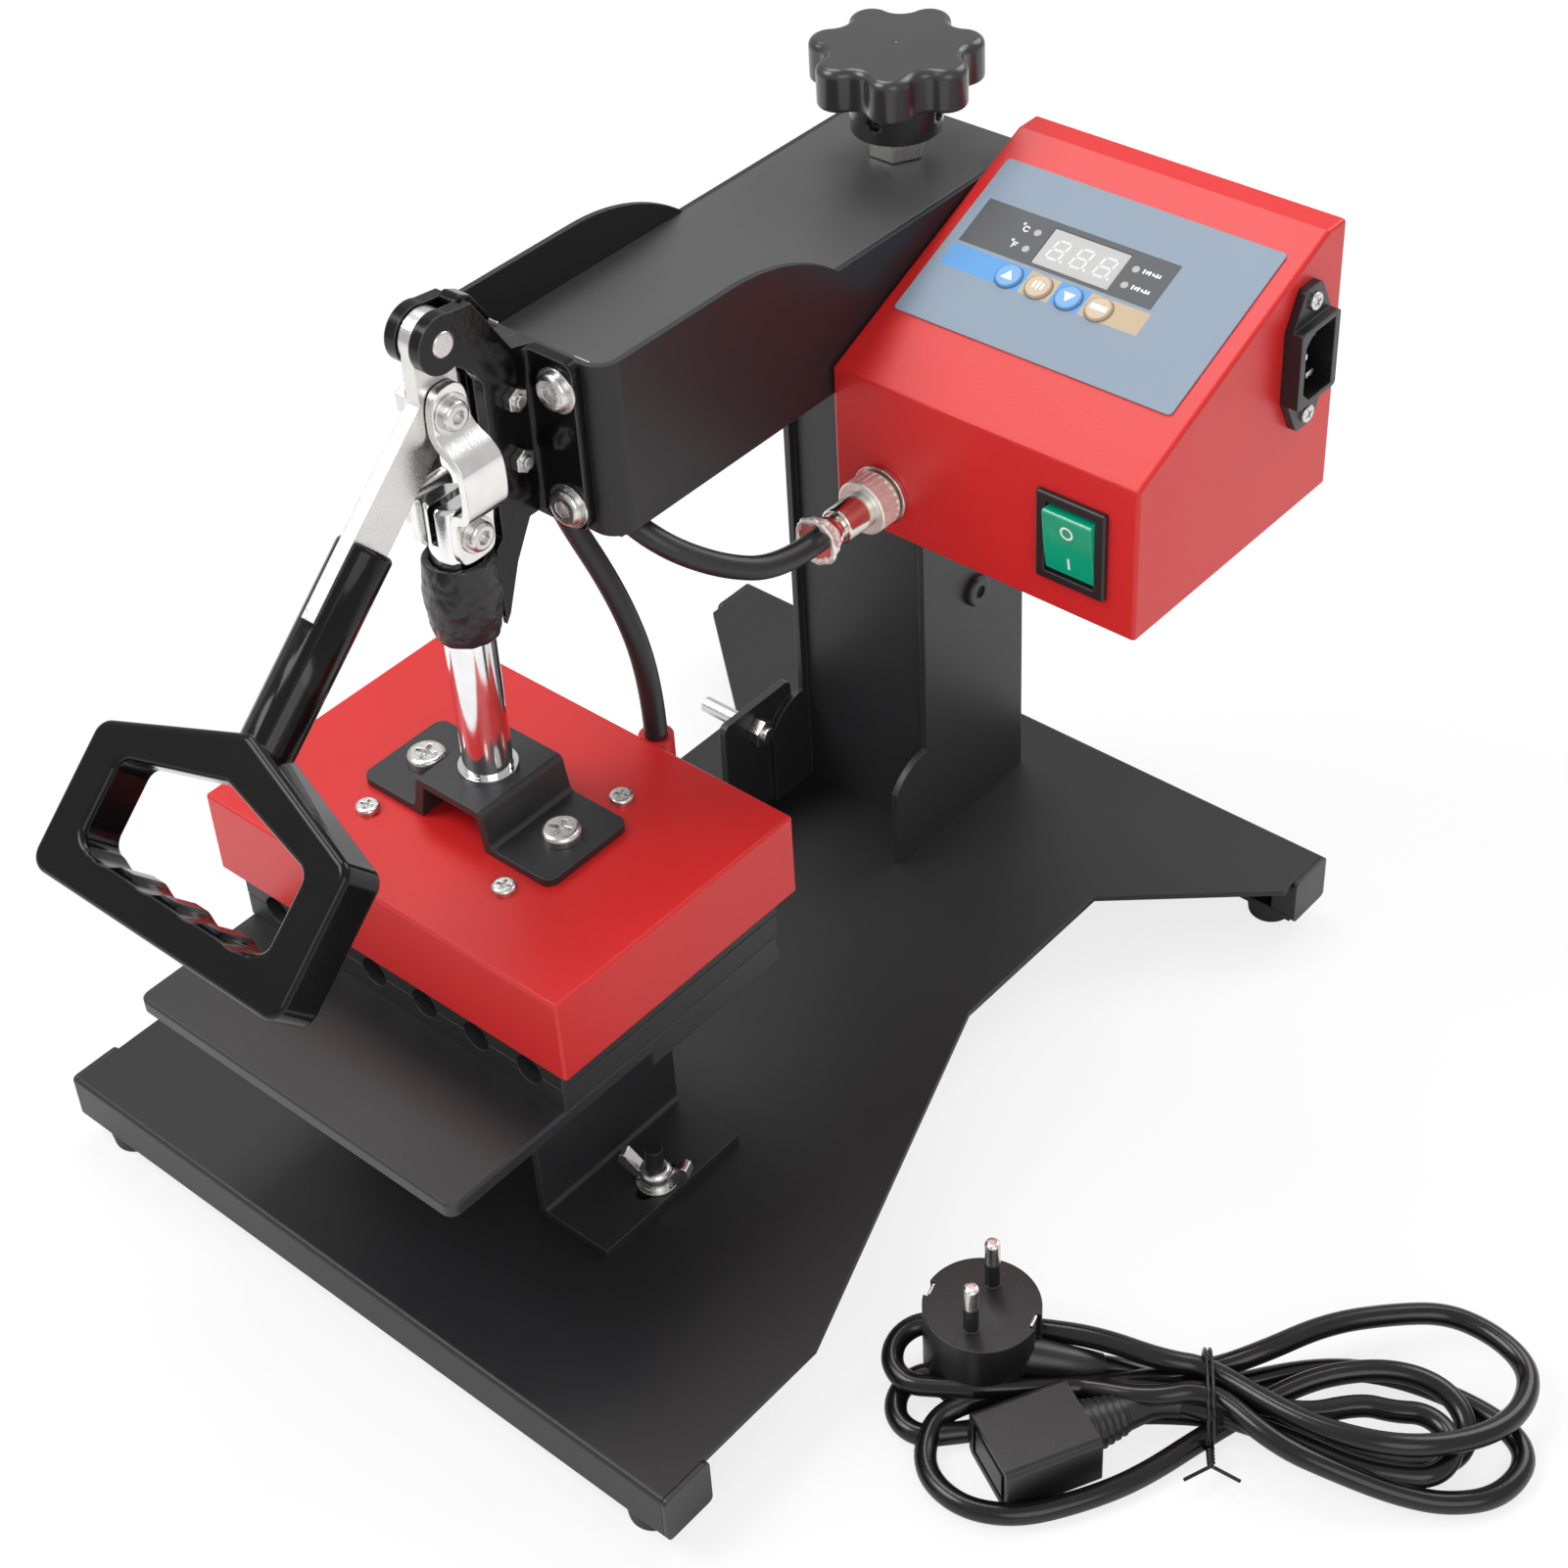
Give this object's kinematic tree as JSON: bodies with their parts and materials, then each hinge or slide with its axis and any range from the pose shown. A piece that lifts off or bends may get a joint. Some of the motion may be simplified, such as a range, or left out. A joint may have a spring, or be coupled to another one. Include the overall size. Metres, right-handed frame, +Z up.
{
  "type": "pen heat press",
  "caption": "Bench heat press for pens: a toggle lever lowers a heated platen onto a grooved table; knob-set arm height and a side control box with display.",
  "frame": {"origin": "middle of the press's footprint, on the surface it stands on; the leads don't count", "axes": "+Z up, +X to the right seen from the front, -Y to the front"},
  "size_m": [0.4666, 0.392, 0.3342],
  "materials": {
    "black_paint": "satin",
    "cast_black": "satin",
    "red_paint": "satin",
    "steel": "satin",
    "bright_steel": "polished",
    "black_screws": "satin",
    "black_blocks": "satin",
    "tape": "matte",
    "black_plastic": "gloss",
    "rubber": "matte",
    "lead_skin": "matte",
    "tie_wire": "matte",
    "green_plastic": "gloss",
    "overlay": "matte",
    "blue_key": "matte",
    "tan_key": "matte",
    "display_face": "gloss",
    "board": "matte",
    "wool": "matte"
  },
  "bodies": {
    "frame": {"base_plate": "black_paint", "end_caps": "black_plastic", "rubber_feet": "rubber", "column": "black_paint", "stop_bolt": "steel", "cross_nut": "steel", "cross_bolts": "black_screws", "box_shell": "black_paint", "box_back": "black_paint", "box_screws": "black_screws", "box_corner_blocks": "steel", "box_mounts": "steel", "panel_overlay": "overlay", "display": "display_face", "control_board": "board", "switch_bezel": "black_plastic", "mains_inlet": "black_plastic", "inlet_pins": "bright_steel", "heater_socket": "bright_steel", "heater_plug": "bright_steel", "heater_lead_upper": "lead_skin", "mains_lead": "lead_skin", "lead_tie": "tie_wire", "mains_plug": "black_plastic", "mains_connector": "black_plastic"},
    "ring": {"plug_ring": "bright_steel"},
    "rocker": {"switch_rocker": "green_plastic"},
    "up_key": {"key_up": "blue_key"},
    "set_key": {"key_set": "tan_key"},
    "down_key": {"key_down": "blue_key"},
    "power_key": {"key_power": "tan_key"},
    "arm": {"arm_channel": "black_paint", "arm_top": "black_paint", "lead_clip": "steel", "clamp_left": "cast_black", "clamp_right": "cast_black", "clamp_bolts": "bright_steel", "guide_sleeve": "tape", "lever_pin": "bright_steel", "heater_lead_lower": "lead_skin"},
    "knob": {"star_knob": "black_plastic", "pressure_screw": "steel"},
    "lever": {"lever_plate": "steel", "link_bolt": "bright_steel", "handle_grip": "black_plastic"},
    "link": {"link_plates": "steel", "link_studs": "bright_steel"},
    "press_head": {"plunger": "bright_steel", "hat_bracket": "black_paint", "hat_screws": "bright_steel", "platen_cover": "red_paint", "cover_screws": "bright_steel", "heater_block": "black_blocks", "heater_rods": "steel", "insulation": "wool"},
    "table": {"table_plate": "black_paint", "table_bracket": "black_paint", "pen_tray": "black_blocks"},
    "left_wing_nut": {"wing_nut_left": "bright_steel"},
    "right_wing_nut": {"wing_nut_right": "bright_steel"}
  },
  "joints": [
    {"name": "arm_height", "type": "slide", "parent": "frame", "child": "arm", "axis": [0, 0, 1], "range_m": [0, 0.006], "deforming": ["heater_lead_upper"]},
    {"name": "knob_turn", "type": "hinge", "parent": "arm", "child": "knob", "pos_m": [-0.0135, 0.14403, 0.3145], "axis": [0, 0, 1], "range_deg": [0, 1440.01]},
    {"name": "handle_swing", "type": "hinge", "parent": "arm", "child": "lever", "pos_m": [-0.0135, -0.06396, 0.325], "axis": [-1, 0, 0], "range_deg": [0, 90]},
    {"name": "link_swing", "type": "hinge", "parent": "lever", "child": "link", "pos_m": [-0.0135, -0.06396, 0.302], "axis": [-1, 0, 0], "range_deg": [-125.1, 0]},
    {"name": "plunger_slide", "type": "slide", "parent": "arm", "child": "press_head", "axis": [0, 0, 1], "range_m": [0, 0.03027], "deforming": ["heater_lead_lower"]},
    {"name": "table_slide", "type": "slide", "parent": "frame", "child": "table", "axis": [0, 1, 0], "range_m": [-0.006, 0.006]},
    {"name": "left_wing_nut_turn", "type": "hinge", "parent": "frame", "child": "left_wing_nut", "pos_m": [-0.08, -0.07397, 0.028], "axis": [0, 0, 1], "continuous": true},
    {"name": "right_wing_nut_turn", "type": "hinge", "parent": "frame", "child": "right_wing_nut", "pos_m": [0.053, -0.07397, 0.028], "axis": [0, 0, 1], "continuous": true},
    {"name": "plug_ring_turn", "type": "hinge", "parent": "frame", "child": "ring", "pos_m": [0.039, 0.06874, 0.2197], "axis": [0, 1, 0], "continuous": true},
    {"name": "rocker_tilt", "type": "hinge", "parent": "frame", "child": "rocker", "pos_m": [0.1125, 0.07074, 0.2316], "axis": [-1, 0, 0], "range_deg": [0, 14]},
    {"name": "key_up_press", "type": "slide", "parent": "frame", "child": "up_key", "axis": [0, 0.3955, -0.9184], "range_m": [0, 0.0005], "stiffness_N_per_m": 300},
    {"name": "key_set_press", "type": "slide", "parent": "frame", "child": "set_key", "axis": [0, 0.3955, -0.9184], "range_m": [0, 0.0005], "stiffness_N_per_m": 300},
    {"name": "key_down_press", "type": "slide", "parent": "frame", "child": "down_key", "axis": [0, 0.3955, -0.9184], "range_m": [0, 0.0005], "stiffness_N_per_m": 300},
    {"name": "key_power_press", "type": "slide", "parent": "frame", "child": "power_key", "axis": [0, 0.3955, -0.9184], "range_m": [0, 0.0005], "stiffness_N_per_m": 300}
  ],
  "couplings": [
    {"joint": "knob_turn", "follows": "arm_height", "rad_per_m": 4188.8},
    {"joint": "link_swing", "follows": "handle_swing", "ratio": -1.39},
    {"joint": "plunger_slide", "follows": "handle_swing", "m_per_rad": 0.019273}
  ]
}
